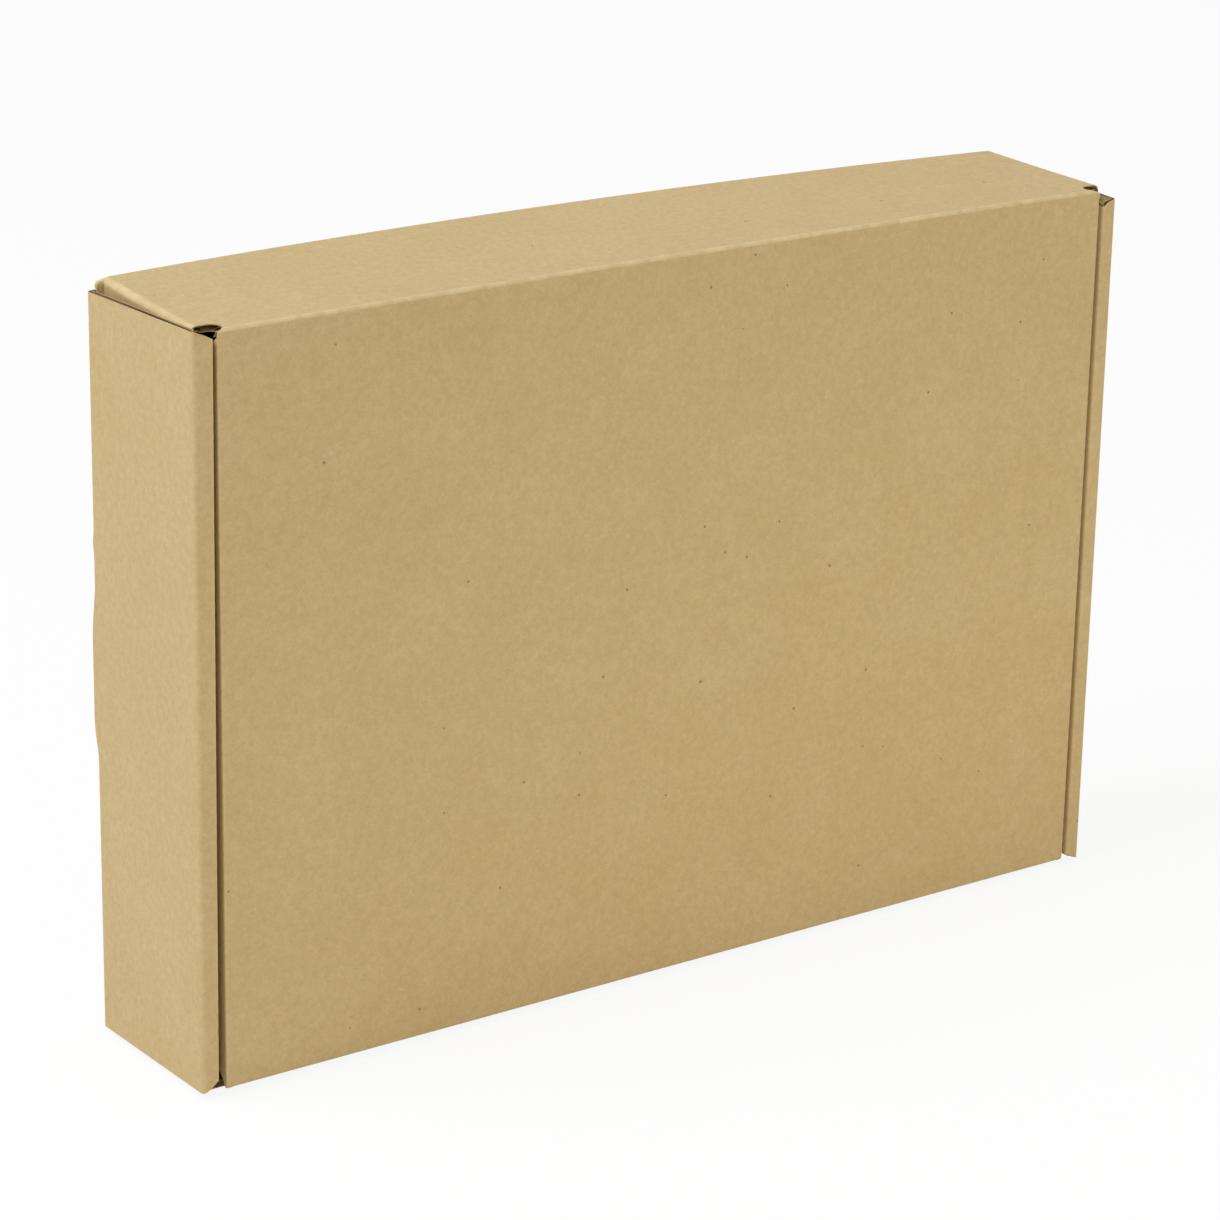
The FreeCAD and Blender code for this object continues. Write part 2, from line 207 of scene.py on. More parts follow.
class Route:
    """The line that a folded board's outer face follows in its section plane."""

    def __init__(self, corners, radii, inside):
        self.inside = inside
        self.spans = []
        self.folds = []
        self.crushes = []
        self.length = 0.0
        points = [np.array(corner, float) for corner in corners]
        point = points[0]
        for index, target in enumerate(points[1:], start=1):
            way = (target - point) / np.linalg.norm(target - point)
            if index == len(points) - 1:
                self.add_span(point, way, np.linalg.norm(target - point), 0.0)
                break
            onward = points[index + 1] - target
            onward = onward / np.linalg.norm(onward)
            turn = math.atan2(way[0] * onward[1] - way[1] * onward[0], way @ onward)
            radius = radii[index - 1]
            cut = radius * math.tan(abs(turn) / 2)
            self.add_span(point, way, np.linalg.norm(target - point) - cut, 0.0)
            start = self.length
            self.add_span(target - way * cut, way, radius * abs(turn), turn / (radius * abs(turn)))
            self.folds.append((start, self.length))
            self.crushes.append(max(CRUSH, 1 - FOLD_FILL * radius / BOARD))
            point = target + onward * cut

    def add_span(self, point, way, length, bend):
        """Adds a straight or an arc: bend is how far it turns for each millimetre."""
        self.spans.append((self.length, length, point, way, bend))
        self.length += length

    def at(self, run):
        """The outer face's points and inward directions at these lengths along the line."""
        points = np.zeros((len(run), 2))
        inward = np.zeros((len(run), 2))
        for number, (start, length, point, way, bend) in enumerate(self.spans):
            last = number == len(self.spans) - 1
            here = (run >= start - 1e-9) & ((run <= start + length) | last)
            step = (run[here] - start)[:, None]
            left = np.array([-way[1], way[0]])
            if bend:
                turned = bend * step
                points[here] = point + way * np.sin(turned) / bend + left * (1 - np.cos(turned)) / bend
                ahead = way * np.cos(turned) + left * np.sin(turned)
            else:
                points[here] = point + way * step
                ahead = np.repeat(way[None], len(step), axis=0)
            inward[here] = self.inside * np.stack([-ahead[:, 1], ahead[:, 0]], axis=1)
        return points, inward

    def on_folds(self, run, amounts):
        """Each fold's own amount on that fold, fading to 0 beside it."""
        most = np.zeros(len(run))
        for (start, end), amount in zip(self.folds, amounts):
            away = np.maximum(np.maximum(start - run, run - end), 0.0)
            most = np.maximum(most, amount * (1 - smooth_step(away, 0.0, FOLD_FADE)))
        return most

    def on_bends(self, run, amounts):
        """Each fold's own amount over its bend alone, dying out at the bend's ends."""
        most = np.zeros(len(run))
        for (start, end), amount in zip(self.folds, amounts):
            away = np.abs(run - (start + end) / 2) / ((end - start) / 2)
            most = np.maximum(most, amount * (1 - smooth_step(away, 0.6, 1.1)))
        return most

    def stations(self, step, extra=(), arc_step=0.3):
        """Lengths along the line: coarse on the straights, fine on the folds and beside them."""
        marks = {0.0, self.length, *extra}
        fine = []
        for start, end in self.folds:
            low, high = max(start - FOLD_FADE, 0.0), min(end + FOLD_FADE, self.length)
            fine.append((low, high))
            marks |= {low, start, end, high}
        marks = sorted(marks)
        runs = [marks[0]]
        for low, high in zip(marks, marks[1:]):
            near_fold = any(a - 1e-9 <= low and high <= b + 1e-9 for a, b in fine)
            count = max(1, math.ceil((high - low) / (arc_step if near_fold else step) - 1e-6))
            runs.extend(low + (high - low) * (i + 1) / count for i in range(count))
        return np.array([r for i, r in enumerate(runs) if i == 0 or r - runs[i - 1] > 1e-6])


class Board:
    """Collects the closed layers of folded strips, and makes one mesh of them."""

    def __init__(self):
        self.points = []
        self.faces = []
        self.layers = []
        self.folds = []
        self.count = 0

    def add_layer(self, outer, inner, keep, layer, fold):
        """A closed layer between two grids of points, over the cells that are kept."""
        rows, columns = outer.shape[:2]
        total = rows * columns
        grid = np.arange(total).reshape(rows, columns)
        a, b = grid[:-1, :-1][keep], grid[1:, :-1][keep]
        c, d = grid[1:, 1:][keep], grid[:-1, 1:][keep]
        faces = [np.stack([a, b, c, d], 1), np.stack([a, d, c, b], 1) + total]
        padded = np.pad(keep, 1)
        i, j = np.nonzero(padded[:-1, 1:-1] != padded[1:, 1:-1])
        start, end = grid[i, j], grid[i, j + 1]
        faces.append(np.stack([start, end, end + total, start + total], 1))
        i, j = np.nonzero(padded[1:-1, :-1] != padded[1:-1, 1:])
        start, end = grid[i, j], grid[i + 1, j]
        faces.append(np.stack([start, end, end + total, start + total], 1))
        faces = np.concatenate(faces)
        used, renumbered = np.unique(faces, return_inverse=True)
        both = np.concatenate([outer.reshape(-1, 3), inner.reshape(-1, 3)])
        weights = np.concatenate([fold.ravel(), fold.ravel()])
        self.points.append(both[used])
        self.folds.append(weights[used])
        self.faces.append(renumbered.reshape(-1, 4) + self.count)
        self.layers.append(np.full(len(faces), layer))
        self.count += len(used)

    def make(self, name):
        """The finished object, in metres."""
        points = np.concatenate(self.points) * MM
        faces = np.concatenate(self.faces)
        mesh = bpy.data.meshes.new(name)
        mesh.from_pydata(points.tolist(), [], faces.tolist())
        for finish in (outer_finish, inner_finish, core_finish):
            mesh.materials.append(finish)
        mesh.polygons.foreach_set("material_index", np.concatenate(self.layers).astype(np.int32))
        # Each point's share of the pale fold colour, which is partly rubbed paper and partly a painted
        # highlight.
        wear_and_highlight_share = mesh.attributes.new("fold", "FLOAT", "POINT")
        wear_and_highlight_share.data.foreach_set("value", np.concatenate(self.folds).astype(np.float32))
        shape = bmesh.new()
        shape.from_mesh(mesh)
        bmesh.ops.recalc_face_normals(shape, faces=shape.faces)
        shape.to_mesh(mesh)
        shape.free()
        mesh.shade_smooth()
        mesh.set_sharp_from_angle(angle=math.radians(SHARP_ANGLE))
        piece = bpy.data.objects.new(name, mesh)
        bpy.context.scene.collection.objects.link(piece)
        return piece


class Strip:
    """A strip of the blank, folded along a route and as wide as across says."""

    def __init__(self, route, lift, settle, flutes_along, across=None, keep=None, scallops=(), wear_and_highlight=()):
        self.route = route
        self.lift = lift
        self.settle = settle
        self.flutes_along = flutes_along
        self.scallops = scallops
        self.wear_and_highlight = wear_and_highlight
        self.across = across or (lambda run, side: np.repeat(side[None], len(run), axis=0))
        self.keep = keep or (lambda run, side: np.ones((len(run), len(side)), bool))

    def surface(self, run, side, depth):
        """Points at a share of the board's thickness below its outer face."""
        spot, inward = self.route.at(run)
        along = self.across(run, side)
        flute = self.phase(run, along)
        crush = self.route.on_folds(run, self.route.crushes)[:, None]
        relief = self.route.on_folds(run, self.scallops)[:, None] * np.cos(flute)
        sink = BOARD * (1 - crush) * depth(flute) - relief
        a = spot[:, :1] + inward[:, :1] * sink
        b = spot[:, 1:] + inward[:, 1:] * sink
        # The pale fold colour over the bends: partly rubbed paper, partly a painted highlight.
        wear_and_highlight_share = self.route.on_bends(run, self.wear_and_highlight)[:, None]
        return self.settle(self.lift(a, b, along)), np.repeat(wear_and_highlight_share, len(side), axis=1)

    def phase(self, run, along):
        """The flute's phase: it changes along the route, or across it."""
        if self.flutes_along:
            return np.repeat(2 * np.pi * run[:, None] / PITCH, along.shape[1], axis=1)
        return 2 * np.pi * along / PITCH

    def build(self, board, runs, sides, core_runs=None):
        """Adds the strip's two liners and its medium, which may have stations of its own."""
        self.add(board, runs, sides, 0.0, LINER, OUTER)
        self.add(board, runs, sides, 1 - LINER, 1.0, INNER)
        swing = 0.5 - LINER - MEDIUM / 2

        def high(flute):
            return 0.5 + swing * np.sin(flute) - MEDIUM / 2

        def low(flute):
            return 0.5 + swing * np.sin(flute) + MEDIUM / 2

        self.add(board, runs if core_runs is None else core_runs, sides, high, low, CORE)

    def add(self, board, runs, sides, high, low, layer):
        """Adds one layer between two depths, each a number or a function of the flute's phase."""
        high_depth = high if callable(high) else (lambda flute: high)
        low_depth = low if callable(low) else (lambda flute: low)
        outer, fold = self.surface(runs, sides, high_depth)
        inner, _ = self.surface(runs, sides, low_depth)
        kept = self.keep((runs[:-1] + runs[1:]) / 2, (sides[:-1] + sides[1:]) / 2)
        board.add_layer(outer, inner, kept, layer, fold)


def bend_columns(side, knots, targets):
    """Moves the columns so that the ones at the knots land on each station's targets."""
    return np.stack([np.interp(side, knots, row) for row in targets])


def flute_runs(route, extra):
    """Stations fine enough to draw each flute of a strip whose flutes lie across its route."""
    return route.stations(PITCH / 10, extra, arc_step=PITCH / 10)


def lift_wrap(y, z, x):
    """Section plane across the length: the strip is as wide as the box is long."""
    return np.stack([x, y, z], axis=-1)


def lift_end(x, y, z):
    """Section plane level with the floor."""
    return np.stack([x, y, z], axis=-1)


def lift_flap(x, z, y):
    """Section plane upright along the length."""
    return np.stack([x, y, z], axis=-1)


def settle_crown(points):
    """The back wall and its fold to the lid stand a little proud in the middle."""
    moved = points.copy()
    x, z = points[..., 0], points[..., 2]
    high = smooth_step(z, TOP - CROWN_REACH, TOP - 2)
    moved[..., 2] += CROWN * (1 - (x / WALL_END) ** 2) * high
    return moved


def settle_bow(points):
    """The bottom panel bulges, and takes the rear of the walls beside it along."""
    moved = points.copy()
    x, y = points[..., 0], points[..., 1]
    share = np.clip((y - FRONT - 5) / (DEPTH - 5), 0.0, 1.1)
    moved[..., 1] += BOW * (1 - (x / WALL_END) ** 2) * share
    return moved


def settle_wrap(points):
    """The back wall's rear edge stands high, most at the left, where it is pulled in off the end wall.

    The bottom panel isn't pulled in, because the end wall is folded from it.
    """
    moved = settle_bow(settle_crown(points))
    x, y, z = points[..., 0], points[..., 1], points[..., 2]
    back = np.clip((y - FRONT) / DEPTH, 0.0, 1.0)
    high = smooth_step(z, TOP - REAR_LIFT_REACH, TOP - 3)
    lift = REAR_LIFT_LEFT + (REAR_LIFT_RIGHT - REAR_LIFT_LEFT) * (x / WALL_END + 1) / 2
    moved[..., 2] += lift * back**1.5 * high
    on_bottom = smooth_step(TOP - z, PLAY, END_TRIM) * smooth_step(y, INNER_FOOT, REAR - BOARD)
    pull = REAR_PULL_LEFT * back * high * (1 - on_bottom)
    moved[..., 0] += pull * smooth_step(-x, REAR_PULL_START, WALL_END)
    return moved


def even(low, high, step):
    """Evenly spaced values from low to high, about a step apart."""
    return np.linspace(low, high, max(2, math.ceil((high - low) / step) + 1))


def merge(*parts):
    """One rising list of the values in all parts, without repeats."""
    return np.unique(np.round(np.concatenate([np.atleast_1d(p) for p in parts]), 4))


def steady_columns(half, step):
    """Columns of a strip that reaches half to each side, evenly spaced where they stay put."""
    return merge(-half, even(-STEADY_HALF, STEADY_HALF, step), half)


def move_ends(side, half, edges):
    """Moves a strip's two ends from half to each station's edge, and leaves its middle."""
    knots = (-half, -STEADY_HALF, STEADY_HALF, half)
    return bend_columns(side, knots, [(-e, -STEADY_HALF, STEADY_HALF, e) for e in edges])


def notch_edge(ahead):
    """How far the sheet reaches sideways, at a distance ahead of the round-ended notch's rear side."""
    radius = NOTCH / 2
    bite = np.sqrt(np.clip(radius**2 - (ahead - radius) ** 2, 0.0, None))
    edge = LID_HALF + NOTCH_SHOULDER - bite
    edge = np.where(ahead > radius, np.minimum(edge, LID_HALF), edge)
    return np.where(ahead < 0, FLAP_START, edge)


def make_wrap():
    """Back wall, bottom panel and front wall."""
    route = Route(
        [(FRONT + HINGE_BAND, TOP), (REAR, TOP), (REAR, 0), (FRONT + SETBACK, 0)],
        [WRAP_RADIUS, WRAP_RADIUS],
        inside=-1,
    )
    panel_start = route.folds[0][1] + END_TRIM - WRAP_RADIUS + PLAY
    panel_end = route.folds[1][0] - END_TRIM + WRAP_RADIUS - PLAY

    def across(run, side):
        on_panel = (run > panel_start - 1e-6) & (run < panel_end + 1e-6)
        return move_ends(side, FLAP_START, np.where(on_panel, SLOT_START, FLAP_START))

    strip = Strip(route, lift_wrap, settle_wrap, True, across, wear_and_highlight=(0.1, 0.3))
    extra = (panel_start - 0.01, panel_start, panel_end, panel_end + 0.01)
    board = Board()
    sides = steady_columns(FLAP_START, PANEL_COLUMN)
    strip.build(board, route.stations(PANEL_STEP, extra), sides, core_runs=flute_runs(route, extra))
    return board.make("tray_wrap")


def make_corner_flap(side, back):
    """A flap folded from an end of the back or the front wall, inside the end wall."""
    level, tip, inside = (TOP, TOP - FLAP_REACH, -1) if back else (0, FLAP_REACH, 1)
    near = FRONT + (NOTCH if back else SETBACK)
    route = Route([(FLAP_START, level), (WALL_END, level), (WALL_END, tip)], [FLAP_RADIUS], inside)
    fold_end = route.folds[0][1]

    def across(run, c):
        taper = FLAP_TAPER * np.clip((run - fold_end) / (route.length - fold_end), 0, 1)
        corner = REAR - CORNER_GAP
        rear = corner - (corner - INNER_FOOT) * smooth_step(run, fold_end - 0.5, fold_end + 3)
        targets = [(near, r - t) for r, t in zip(rear, taper)]
        return bend_columns(c, (0.0, 1.0), targets)

    def settle(points):
        points = points.copy()
        points[..., 0] *= side
        points[..., 2] += round_off(REAR - points[..., 1], WRAP_RADIUS) * (-1 if back else 1)
        return settle_wrap(points)

    strip = Strip(route, lift_flap, settle, False, across, scallops=(0.015,), wear_and_highlight=(0.7,))
    board = Board()
    spans = merge(even(0, FLAP_REAR, FLAP_SPAN), even(FLAP_REAR, 1, FLAP_REAR_SPAN))
    strip.build(board, route.stations(FLAP_STEP), spans)
    place = "back" if back else "front"
    end = "right" if side > 0 else "left"
    return board.make(f"corner_flap_{place}_{end}")


def settle_knuckle(points):
    """Beside the slot's upper end the left wall's fold stands out as a small knuckle."""
    moved = points.copy()
    y, z = points[..., 1], points[..., 2]
    bump = np.exp(-(((z - MIDDLE - KNUCKLE_UP) / KNUCKLE_REACH) ** 2))
    moved[..., 1] += KNUCKLE * bump * smooth_step(y, REAR - 3, REAR)
    return moved


def settle_roll(points, side):
    """The rolled front edge is pinched thinner than its plies: all along the right, low on the left."""
    moved = points.copy()
    x, y, z = points[..., 0], points[..., 1], points[..., 2]
    pinch = ROLL_PINCH_RIGHT
    if side < 0:
        pinch = ROLL_PINCH_LEFT_FOOT + (ROLL_PINCH_LEFT_TOP - ROLL_PINCH_LEFT_FOOT) * z / TOP
    share = smooth_step(HALF - x, BOARD, RIM_WIDTH) * (1 - smooth_step(y, FRONT + 0.5, FRONT + 5))
    moved[..., 0] += pinch * share
    return moved


def end_wall_ends(side):
    """Lower and upper ends of an end wall: rear, front, rim's inner fold, just behind it, inner foot."""
    if side < 0:
        low = (1.2, 1.7, 4.4, 4.0, 3.6)
        high = (170.0, 171.2, 168.8, 168.9, 168.9)
    else:
        low = (1.0, 0.9, 2.6, 3.0, 3.6)
        high = (169.8, 168.2, 166.6, 168.9, 168.9)
    return low, high


def make_end_wall(side):
    """An end wall: its fold from the bottom panel, outer ply, rolled rim, inner ply and tab."""
    inner = HALF - RIM_WIDTH
    route = Route(
        [(SLOT_START, REAR), (HALF, REAR), (HALF, FRONT), (inner, FRONT), (inner, REAR)],
        [REAR_RADIUS, FRONT_RADIUS, RIM_RADIUS],
        inside=-1,
    )
    rear_fold, front_fold, rim_fold = route.folds
    foot = route.length - (REAR - INNER_FOOT)
    low, high = end_wall_ends(side)
    marks = (rear_fold[1], front_fold[0] + FRONT_RADIUS, rim_fold[1], rim_fold[1] + RIM_BACK, foot)

    def across(run, c):
        lower = np.interp(run, marks, low)
        upper = np.interp(run, marks, high)
        steady = (END_MARGIN, TOP - END_MARGIN)
        bent = bend_columns(c, (0.0, *steady, TOP), [(a, *steady, b) for a, b in zip(lower, upper)])
        narrow = 1 - TAB_TAPER / TAB_HALF * np.clip((run - foot) / (route.length - foot), 0, 1)
        return MIDDLE + (bent - MIDDLE) * narrow[:, None]

    def keep(run, c):
        slot = (run < rear_fold[1])[:, None] & (np.abs(c - MIDDLE) < SLOT_HALF)[None]
        beyond = (run > foot)[:, None] & (np.abs(c - MIDDLE) > TAB_HALF)[None]
        return ~slot & ~beyond

    def settle(points):
        points = settle_bow(settle_roll(points, side))
        if side < 0:
            points = settle_knuckle(points)
        points[..., 0] *= side
        return points

    # How pale each fold is painted: partly rubbed paper, partly a painted highlight.
    wear_and_highlight = (0.2, 0.15, 0.6 if side < 0 else 0.2)
    strip = Strip(route, lift_end, settle, False, across, keep, scallops=(0.012, 0.006, 0.012), wear_and_highlight=wear_and_highlight)
    board = Board()
    both = np.array([-1, 1])
    columns = merge(even(0, TOP, WALL_COLUMN), MIDDLE + both * SLOT_HALF, MIDDLE + both * TAB_HALF)
    strip.build(board, route.stations(WALL_STEP, marks[2:], WALL_FOLD_STEP), columns)
    add_foot(board, settle, route.at(np.array([rear_fold[1]]))[0][0, 1])
    return board.make("end_wall_right" if side > 0 else "end_wall_left")


def add_foot(board, settle, root):
    """The outer ply's foot, which stands out past the bottom panel over the slot."""
    crown = REAR + FOOT_RISE
    route = Route([(HALF, crown), (HALF, root)], [], inside=-1)

    def lift(x, y, z):
        ramp = smooth_step(z - MIDDLE, -FOOT_HALF, -FOOT_HALF + FOOT_TAPER)
        ramp = ramp * (1 - smooth_step(z - MIDDLE, FOOT_HALF - FOOT_TAPER_TOP, FOOT_HALF))
        return lift_end(x, root + (y - root) * (FOOT_LEAST + (1 - FOOT_LEAST) * ramp), z)

    strip = Strip(route, lift, settle, False)
    strip.build(board, route.stations(1), even(MIDDLE - FOOT_HALF, MIDDLE + FOOT_HALF, FOOT_COLUMN))


def spread_lid(points):
    """The lid's face reaches further over the rolled edges than its folded flaps."""
    moved = points.copy()
    x, y, z = points[..., 0], points[..., 1], points[..., 2]
    spread = np.where(x < 0, LID_SPREAD_LEFT, LID_SPREAD_RIGHT) * x / LID_HALF
    share = (1 - smooth_step(y, FRONT + 1, FRONT + 7)) * smooth_step(TOP - z, 0.0, 1.2)
    moved[..., 0] += spread * share
    return moved


def settle_lid(points):
    """The lid follows the crown at its fold, and its face waves a little."""
    moved = spread_lid(settle_crown(points))
    x, y, z = points[..., 0], points[..., 1], points[..., 2]
    share = smooth_step(-y, -FRONT - 4, -FRONT) * smooth_step(TOP - z, HINGE_BAND, 40)
    moved[..., 1] += LID_WAVE * np.sin(x / LID_WAVE_ALONG + 0.6) * np.sin(z / LID_WAVE_UP) * share
    return moved


def make_hinge_band():
    """The crease between the back wall and the lid."""
    route = Route(
        [(FRONT + HINGE_BAND, TOP), (FRONT, TOP), (FRONT, TOP - HINGE_BAND)],
        [HINGE_RADIUS],
        inside=1,
    )
    notch_start = HINGE_BAND - NOTCH
    dust_start = route.length - (HINGE_BAND - HINGE_REACH)

    def across(run, side):
        edges = np.where(run < dust_start, notch_edge(run - notch_start), DUST_START)
        return move_ends(side, LID_HALF, edges)

    def settle(points):
        return spread_lid(settle_wrap(points))

    # The crease is the palest fold: partly rubbed paper, partly a painted highlight.
    strip = Strip(route, lift_wrap, settle, True, across, wear_and_highlight=(1.0,))
    round_runs = notch_start + NOTCH * (1 - np.cos(np.linspace(0, np.pi, 25))) / 2
    extra = (notch_start - 0.001, *round_runs, dust_start - 0.001, dust_start)
    board = Board()
    runs = route.stations(CREASE_STEP, extra, CREASE_FOLD_STEP)
    strip.build(board, runs, steady_columns(LID_HALF, CREASE_COLUMN))
    band = board.make("lid_crease")
    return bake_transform(band)


def make_lid_panel():
    """The lid's panel and the tuck flap along its free edge."""
    route = Route(
        [(FRONT, TOP - HINGE_BAND), (FRONT, LID_LOW), (TUCK_REAR, LID_FOOT + TUCK_RISE)],
        [TUCK_RADIUS],
        inside=1,
    )
    tuck_half = LID_HALF - TUCK_INSET
    fold_end = route.folds[0][1]

    def across(run, side):
        narrow = (DUST_START - tuck_half) * smooth_step(run, fold_end, fold_end + 2)
        corner = round_off(route.length - run, TUCK_ROUND)
        return side[None] * (1 - (narrow + corner) / DUST_START)[:, None]

    strip = Strip(route, lift_wrap, settle_lid, True, across)
    corner_runs = route.length - TUCK_ROUND * (1 - np.cos(np.linspace(0, np.pi / 2, 12)))
    board = Board()
    sides = steady_columns(DUST_START, PANEL_COLUMN)
    runs = route.stations(PANEL_STEP, corner_runs)
    strip.build(board, runs, sides, core_runs=flute_runs(route, corner_runs))
    return board.make("lid_panel")


def make_dust_flap(side):
    """A dust flap folded in from an end of the lid."""
    route = Route(
        [(DUST_START, FRONT), (LID_HALF, FRONT), (LID_HALF, FRONT + DUST_DEPTH)],
        [DUST_RADIUS],
        inside=1,
    )
    fold_end = route.folds[0][1]
    low = LID_LOW + CORNER_GAP
    high = TOP - HINGE_REACH

    def across(run, c):
        taper = DUST_TAPER * np.clip((run - fold_end) / (route.length - fold_end), 0, 1)
        inset = taper + round_off(route.length - run, DUST_ROUND)
        trim = DUST_TRIM * smooth_step(run, fold_end, fold_end + 3)
        targets = [(low + i + t, high - i - t / 2) for i, t in zip(inset, trim)]
        return bend_columns(c, (0.0, 1.0), targets)

    def settle(points):
        points = points.copy()
        points[..., 0] *= side
        points[..., 1] += round_off(points[..., 2] - LID_LOW, TUCK_RADIUS)
        return settle_lid(points)

    scallops = (0.025 if side > 0 else 0.012,)
    strip = Strip(route, lift_end, settle, False, across, scallops=scallops, wear_and_highlight=(0.3,))
    board = Board()
    corner_runs = route.length - DUST_ROUND * (1 - np.cos(np.linspace(0, np.pi / 2, 8)))
    spans = merge(even(0, DUST_FOOT, DUST_FOOT_SPAN), even(DUST_FOOT, 1, DUST_SPAN))
    strip.build(board, route.stations(DUST_STEP, corner_runs), spans)
    return board.make("dust_flap_right" if side > 0 else "dust_flap_left")


def add_node(tree, kind, inputs=None, **settings):
    """Adds a shader node; each input is a value or another node's output."""
    node = tree.nodes.new(kind)
    for name, value in settings.items():
        setattr(node, name, value)
    for key, value in (inputs or {}).items():
        if isinstance(value, bpy.types.NodeSocket):
            tree.links.new(value, node.inputs[key])
        else:
            node.inputs[key].default_value = value
    return node


def noise(tree, place, scale, detail, rough=0.5):
    """A noise texture's value."""
    values = {"Vector": place, "Scale": scale, "Detail": detail, "Roughness": rough}
    return add_node(tree, "ShaderNodeTexNoise", values).outputs["Fac"]


def arithmetic(tree, operation, first, second=0.0):
    """The result of one operation on one or two numbers."""
    return add_node(tree, "ShaderNodeMath", {0: first, 1: second}, operation=operation).outputs[0]


def span(tree, value, low, high, to_low=0.0, to_high=1.0):
    """Maps a range of values onto another, clamped at both ends."""
    inputs = {"Value": value, "From Min": low, "From Max": high, "To Min": to_low, "To Max": to_high}
    return add_node(tree, "ShaderNodeMapRange", inputs).outputs["Result"]


def mixed(tree, share, first, second):
    """Two colours mixed by a share."""
    node = add_node(tree, "ShaderNodeMix", data_type="RGBA")
    sockets = {"Factor": node.inputs[0], "A": node.inputs[6], "B": node.inputs[7]}
    for key, value in (("Factor", share), ("A", first), ("B", second)):
        if isinstance(value, bpy.types.NodeSocket):
            tree.links.new(value, sockets[key])
        else:
            sockets[key].default_value = value
    return node.outputs[2]


def shade(red, green, blue):
    """A colour given in display values from 0 to 255, as the renderer's linear one."""
    linear = []
    for value in (red, green, blue):
        share = value / 255
        linear.append(share / 12.92 if share <= 0.04045 else ((share + 0.055) / 1.055) ** 2.4)
    return (*linear, 1.0)


def vector(tree, operation, first, second=(0, 0, 0), output="Vector"):
    """The result of one operation on one or two vectors."""
    node = add_node(tree, "ShaderNodeVectorMath", {0: first, 1: second}, operation=operation)
    return node.outputs[output]


def fibres(tree, place, facing, scale, width, share):
    """Short straight fibres in the sheet: one in some of the cells of a cell texture, each its own way."""
    cells = add_node(tree, "ShaderNodeTexVoronoi", {"Vector": place, "Scale": scale}, feature="F1")
    chance = vector(tree, "SUBTRACT", cells.outputs["Color"], (0.5, 0.5, 0.5))
    way = vector(tree, "NORMALIZE", vector(tree, "CROSS_PRODUCT", chance, facing))
    side = vector(tree, "CROSS_PRODUCT", way, facing)
    away = vector(tree, "SUBTRACT", place, cells.outputs["Position"])
    across = arithmetic(tree, "ABSOLUTE", vector(tree, "DOT_PRODUCT", away, side, output="Value"))
    along = arithmetic(tree, "ABSOLUTE", vector(tree, "DOT_PRODUCT", away, way, output="Value"))
    line = span(tree, across, width / 2, width, 1.0, 0.0)
    end = span(tree, along, 0.3 / scale, 0.5 / scale, 1.0, 0.0)
    split = add_node(tree, "ShaderNodeSeparateColor", {0: cells.outputs["Color"]})
    chosen = arithmetic(tree, "LESS_THAN", split.outputs[2], share)
    return arithmetic(tree, "MULTIPLY", arithmetic(tree, "MULTIPLY", line, end), chosen)


def specks(tree, place, scale, share, size):
    """Sparse round specks: a few of the cells of a cell texture, each with its own spot."""
    cells = add_node(tree, "ShaderNodeTexVoronoi", {"Vector": place, "Scale": scale}, feature="F1")
    split = add_node(tree, "ShaderNodeSeparateColor", {0: cells.outputs["Color"]})
    chosen = arithmetic(tree, "LESS_THAN", split.outputs[0], share)
    reach = arithmetic(tree, "MULTIPLY", split.outputs[1], size)
    dot = arithmetic(tree, "LESS_THAN", cells.outputs["Distance"], reach)
    return arithmetic(tree, "MULTIPLY", chosen, dot)


